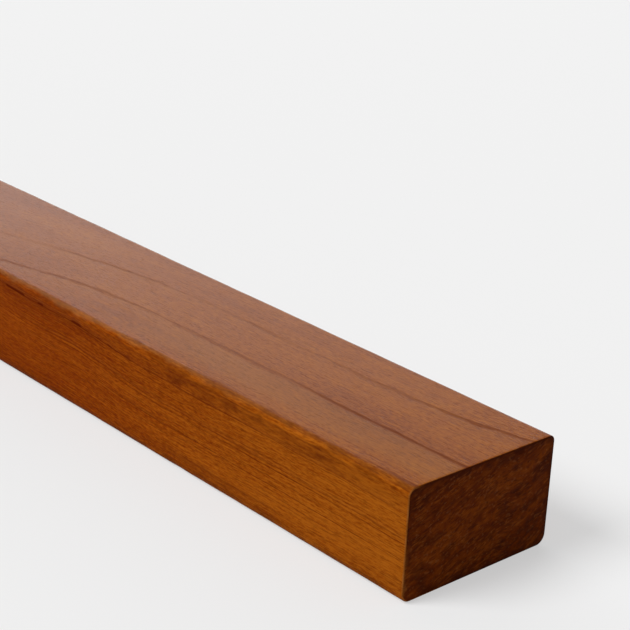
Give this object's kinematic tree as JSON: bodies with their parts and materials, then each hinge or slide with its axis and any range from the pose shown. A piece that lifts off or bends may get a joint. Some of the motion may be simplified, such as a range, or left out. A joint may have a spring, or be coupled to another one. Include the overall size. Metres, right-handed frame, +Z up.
{
  "type": "stair handrail",
  "caption": "Straight length of varnished hardwood stair handrail, a solid rectangular section with rounded long edges and square-sawn ends.",
  "frame": {"origin": "middle of the broad underside, on the surface that the rail lies on", "axes": "+X along the length, +Y across the broad faces, +Z up from the underside to the top"},
  "size_m": [1.8, 0.07, 0.042],
  "materials": {
    "varnished_hardwood": "satin"
  },
  "bodies": {
    "root": {"handrail": "varnished_hardwood"}
  },
  "joints": []
}
